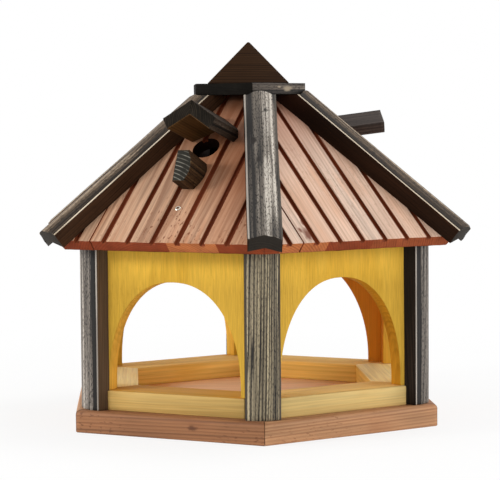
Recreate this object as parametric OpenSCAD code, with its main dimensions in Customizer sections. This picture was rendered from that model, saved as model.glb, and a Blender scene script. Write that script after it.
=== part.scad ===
// Six-sided wooden bird house: an open feeding room with arched walls, under a hollow roof for nesting.
// Millimetres, +Z up, origin at the middle of the underside. Corner 1 points to the front, along -Y.

/* [Base] */
// Distance from the middle to each corner of the base
base_radius = 235; // [220:1:260]
// Thickness of the base boards
base_thick = 25; // [18:0.5:32]
// Width of each mitred base board
base_board_w = 62; // [50:1:80]
// Rounding of the base's top edge
base_round = 5; // [2:0.5:8]
// Thickness of the floor panel inside the base ring
floor_thick = 18; // [12:0.5:18]

/* [Sills] */
// Height of the sill under each arch
sill_h = 22; // [15:0.5:28]
// Depth of the sill, from its outer face inwards
sill_d = 40; // [30:1:48]
// How far the sill stands out from the wall face
sill_proud = 2.5; // [1:0.5:5]

/* [Walls] */
// Distance from the base's side in to each wall's outer face
wall_inset = 18.5; // [15:0.5:24]
// Thickness of the wall boards
wall_thick = 18; // [14:0.5:20]
// Width of the arch
arch_w = 164.5; // [140:0.5:168]
// Height of the curved part of the arch
arch_rise = 118; // [110:1:125]
// Height of the arch's straight legs
arch_leg = 6.5; // [3:0.5:10]
// Sideways shift of the arches from the middle of the walls
arch_shift = -2.5; // [-4:0.5:4]

/* [Posts and hips] */
// Width of the half-round batten used for posts
post_w = 38.5; // [34:0.5:42]
// Width of the half-round batten used for hips and perches
hip_w = 36.5; // [32:0.5:40]
// Height of the batten's rounded crown
batten_crown = 5; // [4:0.5:8]
// Width of the flat ledge beside the crown
batten_ledge = 2; // [1:0.5:3]
// Height of a post's flat sides
post_side = 14.5; // [12:0.5:18]
// Height of a hip's flat sides
hip_side = 19; // [15:0.5:22]
// Length of a hip past the corner of the eaves
hip_overhang = 5.5; // [3:0.5:15]
// Clearance between a hip's upper end and the top plate's corner
hip_gap = 1.5; // [1:0.5:4]
// Sideways turn of the front hip, which lies askew on its fold
front_hip_turn = 1.9; // [0:0.1:2.2]
// Upward turn of the front hip, which rides up on its fold
front_hip_lift = 0.6; // [0:0.1:1]
// Upward turn of the right hip
right_hip_lift = 0.7; // [0:0.1:1]

/* [Roof] */
// Pitch of the roof faces
roof_pitch = 41.2; // [39:0.1:43]
// Distance from the walls' outer faces to the upper edge of the eaves
eave_out = 38; // [32:1:44]
// Height of the upper edge of the eaves
eave_z = 216; // [208:1:226]
// Thickness of the roof boards
board_thick = 15; // [12:0.5:16]
// Distance from the middle to the upper ends of the roof boards
roof_open = 40.2; // [36:0.2:50]
// Distance between the grooves in the roof boards
groove_pitch = 30.3; // [26:0.1:36]
// Width of a groove
groove_w = 4.5; // [3:0.5:6]
// Depth of a groove
groove_depth = 4; // [2:0.5:6]
// Sideways shift of the grooves on a face with an entrance
groove_shift = -7; // [-12:0.5:12]
// Extra width between the two grooves beside the seam of the roof boards
seam_extra = 5; // [0:0.5:8]

/* [Entrances] */
// Diameter of the entrance hole
hole_d = 32; // [26:1:36]
// Distance down the slope from the upper ends of the roof boards to the entrance hole
hole_down = 91; // [85:1:97]
// Sideways shift of the rear entrance, out of line with the front one
rear_shift = 10; // [8:0.5:12]
// Sideways shift of the canopy and the perch from the hole
entrance_shift = 4.5; // [0:0.5:6]
// How far the front canopy's ridge stands out in front of the hole
front_canopy_out = 41.5; // [36:0.5:48]
// How far the front canopy's ridge lies above the hole
front_canopy_up = 54; // [50:1:58]
// Width of the front canopy's boards
front_canopy_w = 40; // [34:1:42]
// Upward tilt of the front canopy's ridge
front_canopy_tilt = 15; // [5:1:18]
// How far the other canopies' ridges stand out in front of the hole
canopy_out = 47; // [40:0.5:50]
// How far the other canopies' ridges lie above the hole
canopy_up = 42; // [40:1:46]
// Width of the other canopies' boards
canopy_w = 28; // [24:1:34]
// Upward tilt of the other canopies' ridges
canopy_tilt = 7; // [3:1:12]
// Slope of the canopy boards to each side
canopy_slope = 32; // [26:1:38]
// Thickness of the canopy boards
canopy_thick = 14.5; // [10:0.5:16]
// How far the perch's end stands out in front of the hole
perch_out = 68; // [60:1:74]
// How far the middle of the perch's end lies below the hole
perch_drop = 18; // [12:1:24]
// Upward tilt of the perch
perch_tilt = 22; // [10:1:28]
// Height of the perch's flat sides
perch_side = 15; // [12:0.5:18]

/* [Top] */
// Distance from the middle to each corner of the top plate
plate_radius = 73; // [68:1:80]
// Thickness of the top plate
plate_thick = 13; // [10:0.5:18]
// Width of the finial's square foot
finial_w = 94; // [80:1:96]
// Height of the finial
finial_h = 50; // [40:1:60]
// Turn of the finial on its plate
finial_turn = -4; // [-8:1:8]

/* [Nest room] */
// Height of the nest floor's underside
nest_z = 184; // [176:1:194]
// Thickness of the nest floor
nest_thick = 12; // [9:0.5:15]

/* [Fits] */
// Gap at each mitred joint
mitre_gap = 0.4; // [0.2:0.1:0.8]
// Gap between a piece and its seat
seat_gap = 0.2; // [0.1:0.1:0.5]

/* [Hidden] */
$fn = 64;
sides = 6;
arch_steps = 40;
reach = 2 * base_radius;
entrance_faces = [1, 3, 5];
perch_faces = [1, 5];
front_face = 1;
rear_face = 5;
front_corner = 1;
right_corner = 2;

base_apothem = base_radius * cos(30);
wall_apothem = base_apothem - wall_inset;
sill_top = base_thick + sill_h;
sill_apothem = wall_apothem + sill_proud;

// Posts stand astride the wall corners
wall_corner = wall_apothem / cos(30);
post_drop = post_w / 2 * tan(30);
post_foot = wall_corner - post_drop;

// Hips lie astride the folds between roof faces
hip_slope = atan(tan(roof_pitch) * cos(30));
hip_drop = hip_w / 2 * tan(asin(sin(roof_pitch) / 2));
eave_apothem = wall_apothem + eave_out;
eave_corner = eave_apothem / cos(30);
roof_top = eave_z + (eave_apothem - roof_open) * tan(roof_pitch);
hip_length = hip_overhang + (roof_top - eave_z) / sin(hip_slope);
hip_spare = hip_length * sin(max(front_hip_turn + front_hip_lift, right_hip_lift));

// Grooves on each side of a roof face's middle, between the hips; the last one is past the seam
groove_count = floor((eave_apothem * tan(30) - hip_w / 2) / groove_pitch);

// The entrance hole's middle on the roof face, as a distance from the middle and a height
hole_apothem = roof_open + hole_down * cos(roof_pitch);
hole_z = roof_top - hole_down * sin(roof_pitch);
hole_up = (eave_apothem - hole_apothem) / cos(roof_pitch);

// Place of an entrance hole across its roof face
function hole_across(i) = i == rear_face ? rear_shift : 0;

function numbered(name) = [for (i = [1:sides]) str(name, "_", i)];

// Turns a piece drawn across +X to face number i; Y then runs along the face
module on_face(i) {
    rotate([0, 0, 60 * i - 180]) children();
}

// Turns a piece drawn across +X to corner number i
module on_corner(i) {
    rotate([0, 0, 60 * i - 150]) children();
}

// A roof face's own frame: X down the slope from the eaves, Z out of the roof
module on_slope() {
    translate([eave_apothem, 0, eave_z]) rotate([0, roof_pitch, 0]) children();
}

// One sixth of the plan, up to a height, less half a mitre gap on each side
module sixth(height) {
    translate([mitre_gap, 0, 0])
        linear_extrude(height)
            polygon([[0, 0], [reach, -reach * tan(30)], [reach, reach * tan(30)]]);
}

// Everything above a level of the roof, measured out of its outer face
module above_slope(level) {
    on_slope() translate([-reach, -reach / 2, level]) cube([2 * reach, reach, reach]);
}

// Everything below a level of the roof
module below_slope(level) {
    on_slope() translate([-reach, -reach / 2, level - reach]) cube([2 * reach, reach, reach]);
}

// Rounded outer face of a batten, with a flat ledge on each side, standing on y = 0
module batten_crown_2d(width) {
    half = width / 2 - batten_ledge;
    radius = (half * half + batten_crown * batten_crown) / (2 * batten_crown);
    intersection() {
        translate([0, batten_crown - radius]) circle(radius, $fn = 96);
        translate([-half, 0]) square([2 * half, batten_crown]);
    }
}

// Batten with a V underside: the V's point is at the origin and its arms fall by drop
module batten_2d(width, side, drop) {
    half = width / 2;
    polygon([[0, 0], [half, -drop], [half, side - drop], [-half, side - drop], [-half, -drop]]);
    translate([0, side - drop]) batten_crown_2d(width);
}

module base_board(i) {
    color("#a5745a")
        intersection() {
            on_face(i) sixth(base_thick);
            on_face(i)
                translate([0, base_radius, 0])
                    rotate([90, 0, 0]) linear_extrude(2 * base_radius) base_board_2d();
        }
}

module base_board_2d() {
    inner = base_apothem - base_board_w;
    translate([inner, 0]) square([base_board_w - base_round, base_thick]);
    translate([inner, 0]) square([base_board_w, base_thick - base_round]);
    translate([base_apothem - base_round, base_thick - base_round]) circle(base_round);
}

module floor_panel() {
    inner = base_apothem - base_board_w - seat_gap;
    color("#b98668")
        translate([0, 0, base_thick - floor_thick])
            rotate([0, 0, 30]) cylinder(h = floor_thick, r = inner / cos(30), $fn = sides);
}

module sill(i) {
    color("#cfae62")
        difference() {
            intersection() {
                on_face(i) sixth(sill_top);
                on_face(i)
                    translate([sill_apothem - sill_d, -base_radius / 2, base_thick])
                        cube([sill_d, base_radius, sill_h]);
            }
            for (c = [i - 1, i])
                on_corner(c) post_space();
        }
}

// Room that a post takes from the ends of the sills
module post_space() {
    half = post_w / 2 + seat_gap;
    translate([post_foot - seat_gap, -half, 0]) cube([reach, 2 * half, sill_top + seat_gap]);
}

module arch_wall(i) {
    color("#cda23c")
        intersection() {
            on_face(i) sixth(roof_top);
            on_face(i)
                difference() {
                    translate([wall_apothem - wall_thick, -wall_corner / 2, sill_top])
                        cube([wall_thick, wall_corner, roof_top]);
                    translate([0, arch_shift, sill_top])
                        rotate([90, 0, 90]) linear_extrude(reach) arch_2d();
                    above_slope(-board_thick - seat_gap);
                }
        }
}

// Half an ellipse on straight legs, standing on y = 0
module arch_2d() {
    half = arch_w / 2;
    curve = [for (n = [0:arch_steps]) 180 * n / arch_steps];
    polygon(concat(
        [[half, -arch_leg]],
        [for (a = curve) [half * cos(a), arch_leg + arch_rise * sin(a)]],
        [[-half, -arch_leg]]));
}

module post(i) {
    color("#4a423b")
        on_corner(i)
            difference() {
                translate([wall_corner + seat_gap, 0, base_thick])
                    linear_extrude(roof_top)
                        rotate(-90) batten_2d(post_w, post_side, post_drop);
                for (turn = [-30, 30])
                    rotate([0, 0, turn]) above_slope(-board_thick - seat_gap);
            }
}

module nest_floor() {
    inner = wall_apothem - wall_thick - seat_gap;
    color("#c9a45a")
        translate([0, 0, nest_z])
            rotate([0, 0, 30]) cylinder(h = nest_thick, r = inner / cos(30), $fn = sides);
}

// Place of groove number n across a roof face
function groove_at(n) = n * groove_pitch - (n == -groove_count ? seam_extra : 0);

module roof_panel(i) {
    entrance = len(search(i, entrance_faces)) > 0;
    shift = entrance ? groove_shift : 0;
    color("#bf8a6c")
        intersection() {
            on_face(i) sixth(roof_top);
            on_face(i) on_slope()
                difference() {
                    translate([-reach, -reach / 2, -board_thick]) cube([reach, reach, board_thick]);
                    for (n = [-groove_count:groove_count])
                        translate([-reach, groove_at(n) + shift - groove_w / 2, -groove_depth])
                            cube([2 * reach, groove_w, 2 * groove_depth]);
                    if (entrance)
                        translate([-hole_up, hole_across(i), -2 * board_thick])
                            cylinder(h = 3 * board_thick, d = hole_d);
                }
        }
}

// Half-round batten over a fold, hollowed to sit on the roof; its upper end runs in under the top plate
module hip(i) {
    lift = i == front_corner ? front_hip_lift : i == right_corner ? right_hip_lift : 0;
    turn = i == front_corner ? front_hip_turn : 0;
    color("#4d453e")
        on_corner(i)
            difference() {
                translate([eave_corner, 0, eave_z])
                    rotate([0, hip_slope, 0])
                        translate([hip_overhang, 0, 0]) rotate([0, lift, -turn])
                            translate([-hip_length, 0, 0])
                                rotate([90, 0, 90]) linear_extrude(hip_length) hip_2d();
                intersection_for (side = [-30, 30])
                    rotate([0, 0, side]) below_slope(seat_gap);
                translate([-reach, -reach / 2, roof_top - seat_gap])
                    cube([reach + plate_radius + hip_gap, reach, reach]);
            }
}

// A hip before it is hollowed: the fold runs through the origin
module hip_2d() {
    translate([-hip_w / 2, -hip_drop - hip_spare]) square([hip_w, hip_side + hip_spare]);
    translate([0, hip_side - hip_drop]) batten_crown_2d(hip_w);
}

module top_plate() {
    color("#3a3431")
        translate([0, 0, roof_top + seat_gap])
            rotate([0, 0, 30]) cylinder(h = plate_thick, r = plate_radius, $fn = sides);
}

// Square pyramid, as two crossed wedges
module finial() {
    foot = roof_top + plate_thick + 2 * seat_gap;
    color("#33271d")
        translate([0, 0, foot]) rotate([0, 0, finial_turn])
            intersection_for (turn = [0, 90])
                rotate([90, 0, turn])
                    linear_extrude(finial_w, center = true)
                        polygon([[-finial_w / 2, 0], [finial_w / 2, 0], [0, finial_h]]);
}

// Two boards in a gable over the entrance hole, cut to the slope of the roof
module canopy(i) {
    front = i == front_face;
    out = front ? front_canopy_out : canopy_out;
    up = front ? front_canopy_up : canopy_up;
    width = front ? front_canopy_w : canopy_w;
    tilt = front ? front_canopy_tilt : canopy_tilt;
    color("#3b342e")
        on_face(i)
            difference() {
                translate([hole_apothem + out, hole_across(i) + entrance_shift, hole_z + up])
                    rotate([0, -tilt, 0])
                        for (side = [0, 1]) mirror([0, side, 0]) canopy_board(hole_apothem + out, width);
                below_slope(seat_gap);
                for (turn = [-30, 30])
                    rotate([0, 0, turn]) hip_space();
            }
}

// Room beside which a canopy board is trimmed to clear a hip
module hip_space() {
    half = hip_w / 2 + seat_gap;
    translate([0, -half, 0]) cube([reach, 2 * half, roof_top]);
}

module canopy_board(length, width) {
    lap = canopy_thick * tan(canopy_slope);
    difference() {
        rotate([-canopy_slope, 0, 0])
            translate([-length, -lap, -canopy_thick]) cube([length, width + lap, canopy_thick]);
        translate([-2 * length, mitre_gap / 2 - reach, -reach]) cube([3 * length, reach, 2 * reach]);
    }
}

// Off-cuts of the batten on edge below the holes, tilted up and cut to the slope of the roof
module perches() {
    length = hole_apothem + perch_out;
    across = entrance_shift - perch_side / 2;
    color("#3b342e")
        for (i = perch_faces)
            on_face(i)
                difference() {
                    translate([length, hole_across(i) + across, hole_z - perch_drop])
                        rotate([0, -perch_tilt, 0]) translate([-length, 0, 0])
                            rotate([90, 90, 90]) linear_extrude(length) batten_2d(hip_w, perch_side, 0);
                    below_slope(seat_gap);
                }
}

for (i = [1:sides]) {
    base_board(i);
    sill(i);
    arch_wall(i);
    post(i);
    roof_panel(i);
    hip(i);
}
for (f = entrance_faces)
    canopy(f);
floor_panel();
nest_floor();
top_plate();
finial();
perches();
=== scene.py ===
# Six-sided wooden bird house with stained boards, brushed battens, a grooved roof and nest entrances
# Metres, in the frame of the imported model: +Z up, the front corner along -Y
import math
import random
from math import cos, radians, sin, tan

import bmesh
import bpy
from mathutils import Matrix, Vector, noise

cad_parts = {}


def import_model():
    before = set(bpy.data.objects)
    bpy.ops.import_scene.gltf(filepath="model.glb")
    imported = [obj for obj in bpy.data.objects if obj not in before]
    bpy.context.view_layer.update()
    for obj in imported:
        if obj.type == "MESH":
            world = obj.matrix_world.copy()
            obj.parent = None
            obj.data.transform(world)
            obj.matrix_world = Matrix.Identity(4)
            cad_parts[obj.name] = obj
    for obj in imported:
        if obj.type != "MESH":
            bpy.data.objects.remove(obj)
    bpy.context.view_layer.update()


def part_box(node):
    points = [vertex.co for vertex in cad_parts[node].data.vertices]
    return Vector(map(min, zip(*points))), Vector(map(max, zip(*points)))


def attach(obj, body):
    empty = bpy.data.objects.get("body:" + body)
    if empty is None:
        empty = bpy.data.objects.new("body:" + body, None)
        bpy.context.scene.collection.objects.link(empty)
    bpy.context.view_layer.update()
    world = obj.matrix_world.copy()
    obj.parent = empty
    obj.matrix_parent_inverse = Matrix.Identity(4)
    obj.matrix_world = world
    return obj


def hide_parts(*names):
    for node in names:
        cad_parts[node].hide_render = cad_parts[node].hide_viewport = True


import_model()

MM = 0.001

# Faces and corners run anticlockwise from above, from the left front face and the front corner
FACES = range(1, 7)
ENTRANCE_FACES = (1, 3, 5)
PERCH_FACES = (1, 5)
FRONT_FACE = 1
REAR_FACE = 5
# Face 2's arch reveal and the insides of faces 3 and 4 carry painted shade; the side sills' tops carry
# painted light
SHADED_FACE = 2
SIDE_FACES = (3, 6)
INSIDE_SHADE_FACES = (3, 4)
PLATE_FACE = 2
FRONT_CORNER = 1
RIGHT_CORNER = 2
BROWN_CORNERS = (4, 5, 6)

# Sizes that the frame gives: face 3 looks along +X, corner 1 along -Y
base_low, base_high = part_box("base_board_3")
floor_low, floor_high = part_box("floor_panel")
sill_low, sill_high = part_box("sill_3")
wall_low, wall_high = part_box("arch_wall_3")
post_low, post_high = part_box("post_1")
nest_low, nest_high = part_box("nest_floor")
_, roof_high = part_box("roof_panel_3")
plate_low, plate_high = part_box("top_plate")
finial_low, finial_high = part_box("finial")
POST_W = post_high.x - post_low.x
EAVE_OUT = roof_high.x
ROOF_TOP = roof_high.z
WALL_CORNER = wall_high.x / cos(radians(30))

# Sizes that the model's boxes don't give
BASE_ROUND = 5 * MM
ARCH_W = 164.5 * MM
ARCH_RISE = 118 * MM
ARCH_LEG = 6.5 * MM
ARCH_SHIFT = -2.5 * MM
HIP_W = 36.5 * MM
BATTEN_CROWN = 5 * MM
BATTEN_LEDGE = 2 * MM
POST_SIDE = 14.5 * MM
HIP_SIDE = 19 * MM
HIP_OVERHANG = 5.5 * MM
HIP_GAP = 1.5 * MM
FRONT_HIP_TURN = radians(1.9)
FRONT_HIP_LIFT = radians(0.6)
RIGHT_HIP_LIFT = radians(0.7)
ROOF_PITCH = radians(41.2)
EAVE_Z = 216 * MM
BOARD_THICK = 15 * MM
GROOVE_PITCH = 30.3 * MM
GROOVE_DEPTH = 4 * MM
GROOVE_CHAMFER = 0.5 * MM
GROOVE_COUNT = 3
GROOVE_SHIFT = -7 * MM
SEAM_EXTRA = 5 * MM
SEAM_GAP = 0.7 * MM
HOLE_R = 16 * MM
HOLE_DOWN = 91 * MM
REAR_SHIFT = 10 * MM
ENTRANCE_SHIFT = 4.5 * MM
FRONT_CANOPY_OUT = 41.5 * MM
FRONT_CANOPY_UP = 54 * MM
FRONT_CANOPY_W = 40 * MM
FRONT_CANOPY_TILT = radians(15)
CANOPY_OUT = 47 * MM
CANOPY_UP = 42 * MM
CANOPY_W = 28 * MM
CANOPY_TILT = radians(7)
CANOPY_SLOPE = radians(32)
CANOPY_THICK = 14.5 * MM
PERCH_OUT = 68 * MM
PERCH_DROP = 18 * MM
PERCH_TILT = radians(22)
PERCH_SIDE = 15 * MM
SCREW = Vector((-53.4, 4, 0)) * MM
FINIAL_W = 94 * MM
FINIAL_TURN = radians(-4)
MITRE_GAP = 0.4 * MM
SEAT_GAP = 0.2 * MM

# Small departures from the solids, which follow the photo
SILL_REACH = 14 * MM
GROOVE_W = 6.2 * MM
REAR_CANOPY_TRIM = 14 * MM
ARCH_LIFTS = {1: -1.5 * MM, 2: 2 * MM}
ARCH_MOVES = {4: 6 * MM}
ARCH_POWER = 2.2

# Places worked out from the sizes
TAN30 = tan(radians(30))
POST_DROP = POST_W / 2 * TAN30
EAVE_CORNER = EAVE_OUT / cos(radians(30))
HIP_SLOPE = math.atan(tan(ROOF_PITCH) * cos(radians(30)))
HIP_DROP = HIP_W / 2 * tan(math.asin(sin(ROOF_PITCH) / 2))
HIP_LENGTH = HIP_OVERHANG + (ROOF_TOP - EAVE_Z) / sin(HIP_SLOPE)
HIP_SPARE = HIP_LENGTH * sin(FRONT_HIP_TURN + FRONT_HIP_LIFT)
PLATE_RADIUS = plate_high.y
HOLE_UP = (ROOF_TOP - EAVE_Z) / sin(ROOF_PITCH) - HOLE_DOWN
HOLE_OUT = EAVE_OUT - HOLE_UP * cos(ROOF_PITCH)
HOLE_Z = EAVE_Z + HOLE_UP * sin(ROOF_PITCH)

# Frames of a face, a corner, a roof slope and a hip; grain runs along each piece's local X


def rotation(angle, axis="Z"):
    return Matrix.Rotation(angle, 4, axis)


SLOPE = Matrix.Translation((EAVE_OUT, 0, EAVE_Z)) @ rotation(ROOF_PITCH, "Y")
HIP = Matrix.Translation((EAVE_CORNER, 0, EAVE_Z)) @ rotation(HIP_SLOPE, "Y")
LYING = rotation(radians(-90))
STANDING = Matrix(((0, 0, 1, 0), (0, -1, 0, 0), (1, 0, 0, 0), (0, 0, 0, 1)))


def face_frame(i):
    return rotation(radians(60 * i - 180))


def corner_frame(i):
    return rotation(radians(60 * i - 150))


def hole_across(i):
    return REAR_SHIFT if i == REAR_FACE else 0


# Mesh building

SQUARE = ((-1, -1), (1, -1), (1, 1), (-1, 1))
SHARP_ANGLE = radians(30)
SMOOTH_ANGLE = radians(35)


def densify(profile, step):
    """The same closed profile with points added along its long sides."""
    dense = []
    for k, (y, z, tag) in enumerate(profile):
        y2, z2, _ = profile[(k + 1) % len(profile)]
        count = max(1, math.ceil(math.hypot(y2 - y, z2 - z) / step))
        for n in range(count):
            dense.append((y + (y2 - y) * n / count, z + (z2 - z) * n / count, tag))
    return dense


def inset(profile, amount):
    """The closed profile moved inwards by an amount; it runs anticlockwise."""
    moved = []
    count = len(profile)
    for k in range(count):
        before = Vector(profile[k - 1][:2])
        here = Vector(profile[k][:2])
        after = Vector(profile[(k + 1) % count][:2])
        side_in = (here - before).normalized()
        side_out = (after - here).normalized()
        left = Vector((-side_in.y - side_out.y, side_in.x + side_out.x))
        spread = max(0.5, 1 + side_in.dot(side_out))
        moved.append(here + left * (amount / spread))
    return moved


def skin(bm, rings, tag=lambda level, k: 0, cap_tag=0):
    """Faces between rings of points and over both end rings, each with its tag."""
    for level, (low, high) in enumerate(zip(rings, rings[1:])):
        for k in range(len(low)):
            n = (k + 1) % len(low)
            bm.faces.new((low[k], low[n], high[n], high[k])).material_index = tag(level, k)
    for ring in (rings[0], rings[-1]):
        bm.faces.new(ring).material_index = cap_tag
    bmesh.ops.recalc_face_normals(bm, faces=bm.faces)


def prism(profile, start, end, ring_step, end_round=0.0, cap_tag=0):
    """A profile of (y, z, tag) swept along X, with rings, softened ends and a tag on each face."""
    bm = bmesh.new()
    count = max(1, round((end - start) / ring_step))
    stations = [(start + (end - start) * n / count, 0.0) for n in range(count + 1)]
    if end_round:
        eased = [(0.0, end_round), (0.3 * end_round, 0.3 * end_round), (end_round, 0.0)]
        stations = ([(start + x, d) for x, d in eased] + stations[1:-1]
                    + [(end - x, d) for x, d in reversed(eased)])
    rings = []
    for x, amount in stations:
        points = inset(profile, amount) if amount else [Vector(p[:2]) for p in profile]
        rings.append([bm.verts.new((x, p.x, p.y)) for p in points])
    skin(bm, rings, lambda level, k: profile[k][2], cap_tag)
    return bm


def slab(first, second, soften):
    """Two outlines with as many points, joined into a solid with softened edges."""
    bm = bmesh.new()
    skin(bm, [[bm.verts.new(p) for p in outline] for outline in (first, second)])
    soften_edges(bm, sharp_edges(bm), soften)
    return bm


def sharp_edges(bm):
    return [e for e in bm.edges if len(e.link_faces) == 2 and e.calc_face_angle(0) > SHARP_ANGLE]


def soften_edges(bm, edges, width, tag=-1):
    bmesh.ops.bevel(bm, geom=edges, offset=width, segments=2, profile=0.5, affect="EDGES", clamp_overlap=True,
                    material=tag)


def cut(bm, point, normal, tag=0, soften=0.0):
    """Cuts away what lies on the normal's side of a plane and closes the cut."""
    everything = bm.verts[:] + bm.edges[:] + bm.faces[:]
    done = bmesh.ops.bisect_plane(bm, geom=everything, dist=1e-7, plane_co=point, plane_no=normal,
                                  clear_outer=True)
    rim = [g for g in done["geom_cut"] if isinstance(g, bmesh.types.BMEdge)]
    if not rim:
        return
    filled = bmesh.ops.edgeloop_fill(bm, edges=rim)
    for f in filled["faces"]:
        f.material_index = tag
    bmesh.ops.recalc_face_normals(bm, faces=bm.faces)
    if soften:
        soften_edges(bm, [e for e in rim if e.is_valid], soften, tag)


def new_object(name, data):
    obj = bpy.data.objects.new(name, data)
    bpy.context.scene.collection.objects.link(obj)
    return obj


def subtract(bm, cutter):
    """The first mesh less the second."""
    held = []
    for name, source in (("kept", bm), ("cutter", cutter)):
        mesh = bpy.data.meshes.new(name)
        source.to_mesh(mesh)
        source.free()
        held.append(new_object(name, mesh))
    boolean = held[0].modifiers.new("cut", "BOOLEAN")
    boolean.operation = "DIFFERENCE"
    boolean.solver = "EXACT"
    boolean.object = held[1]
    result = bmesh.new()
    result.from_object(held[0], bpy.context.evaluated_depsgraph_get())
    for obj in held:
        mesh = obj.data
        bpy.data.objects.remove(obj)
        bpy.data.meshes.remove(mesh)
    return result


def weather(bm, place, seed, amount, along=6.0, across=30.0, tags=None):
    """Moves the surface in and out a little, in long waves along the grain."""
    bm.normal_update()
    back = place.inverted()
    shift = Vector((seed * 7.31, seed * 3.17, seed * 1.93))
    moves = []
    for v in bm.verts:
        if tags and not all(f.material_index in tags for f in v.link_faces):
            continue
        p = back @ v.co
        where = Vector((p.x * along, p.y * across, p.z * across)) + shift
        moves.append((v, v.normal * (amount * noise.noise(where))))
    for v, move in moves:
        v.co += move


def wear_end(bm, place, seed, amount):
    """Wears the end at local X = 0 back unevenly, as if chipped."""
    depth = 1 * MM
    fineness = 140
    back = place.inverted()
    inward = place.to_3x3() @ Vector((-1, 0, 0))
    shift = Vector((seed * 1.7, seed * 2.3, seed * 0.9))
    for v in bm.verts:
        p = back @ v.co
        if p.x > -depth:
            chip = 0.5 + 0.5 * noise.noise(Vector((p.y, p.z, 0)) * fineness + shift)
            v.co += inward * (amount * chip)


def grain_offset(seed, pith):
    """Place of a mesh's origin in its log: somewhere along it, and across and out from the pith."""
    rng = random.Random(seed)
    across, out = pith
    return Vector((rng.uniform(-0.8, 0.8), across, out * rng.uniform(0.9, 1.1)))


class Piece:
    """One visible piece, gathered from meshes that each have their own grain."""

    def __init__(self, name, materials):
        self.name = name
        self.materials = materials
        self.bm = bmesh.new()

    def add(self, bm, place, seed, pith):
        """Adds a mesh that is in place, with its grain coordinates, and frees it."""
        offset = grain_offset(seed, pith)
        back = place.inverted()
        layer = bm.verts.layers.float_vector.new("grain")
        for v in bm.verts:
            v[layer] = back @ v.co + offset
        mesh = bpy.data.meshes.new("part")
        bm.to_mesh(mesh)
        bm.free()
        self.bm.from_mesh(mesh)
        bpy.data.meshes.remove(mesh)

    def finish(self, slot, *nodes):
        """Makes the object, which rides on the body and stands for its nodes."""
        for f in self.bm.faces:
            f.smooth = True
        for e in self.bm.edges:
            e.smooth = len(e.link_faces) == 2 and e.calc_face_angle(0) < SMOOTH_ANGLE
        mesh = bpy.data.meshes.new(self.name)
        self.bm.to_mesh(mesh)
        self.bm.free()
        for material in self.materials:
            mesh.materials.append(material)
        obj = new_object(self.name, mesh)
        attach(obj, "root")
        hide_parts(*nodes)


# Materials


class Nodes:
    """A material's or world's node tree, with short calls for its nodes."""

    def __init__(self, owner):
        self.owner = owner
        owner.use_nodes = True
        self.tree = owner.node_tree
        self.tree.nodes.clear()

    def add(self, kind, inputs, **settings):
        made = self.tree.nodes.new(kind)
        for key, value in settings.items():
            setattr(made, key, value)
        for key, value in inputs.items():
            if isinstance(value, bpy.types.NodeSocket):
                self.tree.links.new(value, made.inputs[key])
            else:
                made.inputs[key].default_value = value
        return made

    def math(self, operation, a, b=0.0):
        return self.add("ShaderNodeMath", {0: a, 1: b}, operation=operation).outputs[0]

    def times(self, a, b):
        return self.math("MULTIPLY", a, b)

    def vector(self, operation, a, b):
        return self.add("ShaderNodeVectorMath", {0: a, 1: b}, operation=operation).outputs[0]

    def length(self, a):
        return self.add("ShaderNodeVectorMath", {0: a}, operation="LENGTH").outputs["Value"]

    def chance(self, number):
        """A value from 0 to 1 for each whole number."""
        return self.add("ShaderNodeTexWhiteNoise", {"W": number}, noise_dimensions="1D").outputs["Value"]

    def grain(self):
        return self.add("ShaderNodeAttribute", {}, attribute_name="grain").outputs["Vector"]

    def across(self, grain):
        return self.add("ShaderNodeSeparateXYZ", {0: grain}).outputs["Y"]

    def place(self):
        return self.add("ShaderNodeTexCoord", {}).outputs["Object"]

    def height(self):
        return self.add("ShaderNodeSeparateXYZ", {0: self.place()}).outputs["Z"]

    def noise(self, vector, scale, detail=2.0, output="Fac"):
        inputs = {"Vector": self.vector("MULTIPLY", vector, scale), "Scale": 1.0, "Detail": detail}
        return self.add("ShaderNodeTexNoise", inputs).outputs[output]

    def wobble(self, vector, scale, detail=2.0):
        """A noise vector around 0."""
        return self.vector("SUBTRACT", self.noise(vector, scale, detail, "Color"), (0.5, 0.5, 0.5))

    def band(self, value, low, high):
        """0 below a low value, 1 above a high one, and a smooth step between."""
        inputs = {"Value": value, "From Min": low, "From Max": high}
        return self.add("ShaderNodeMapRange", inputs, interpolation_type="SMOOTHSTEP").outputs["Result"]

    def mix(self, factor, a, b):
        return self.add("ShaderNodeMix", {0: factor, 6: a, 7: b}, data_type="RGBA").outputs[2]

    def centred(self, value, strength):
        """A noise value turned into a factor around 1."""
        return self.math("ADD", self.times(self.math("SUBTRACT", value, 0.5), strength), 1.0)

    def scale_colour(self, colour, factor):
        return self.add("ShaderNodeVectorMath", {0: colour, "Scale": factor}, operation="SCALE").outputs[0]

    def background_rays(self):
        """1 for rays that should see the white background: from the camera, and in gloss and glass."""
        path = self.add("ShaderNodeLightPath", {}).outputs
        seen = self.math("MAXIMUM", path["Is Camera Ray"], path["Is Glossy Ray"])
        return self.math("MAXIMUM", seen, path["Is Transmission Ray"])

    def surface(self, colour, rough, height, depth=0.2 * MM, gloss=0.3, metallic=0.0):
        bump = self.add("ShaderNodeBump", {"Height": height, "Distance": depth, "Strength": 0.7})
        shader = self.add("ShaderNodeBsdfPrincipled", {
            "Base Color": colour, "Roughness": rough, "Specular IOR Level": gloss, "Metallic": metallic,
            "Normal": bump.outputs[0]})
        self.add("ShaderNodeOutputMaterial", {"Surface": shader.outputs[0]})
        return self.owner


def rgb(red, green, blue):
    """A colour given as it shows on screen, from 0 to 255."""
    def linear(value):
        value /= 255
        return value / 12.92 if value <= 0.04045 else ((value + 0.055) / 1.055) ** 2.4
    return (linear(red), linear(green), linear(blue), 1.0)


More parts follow.
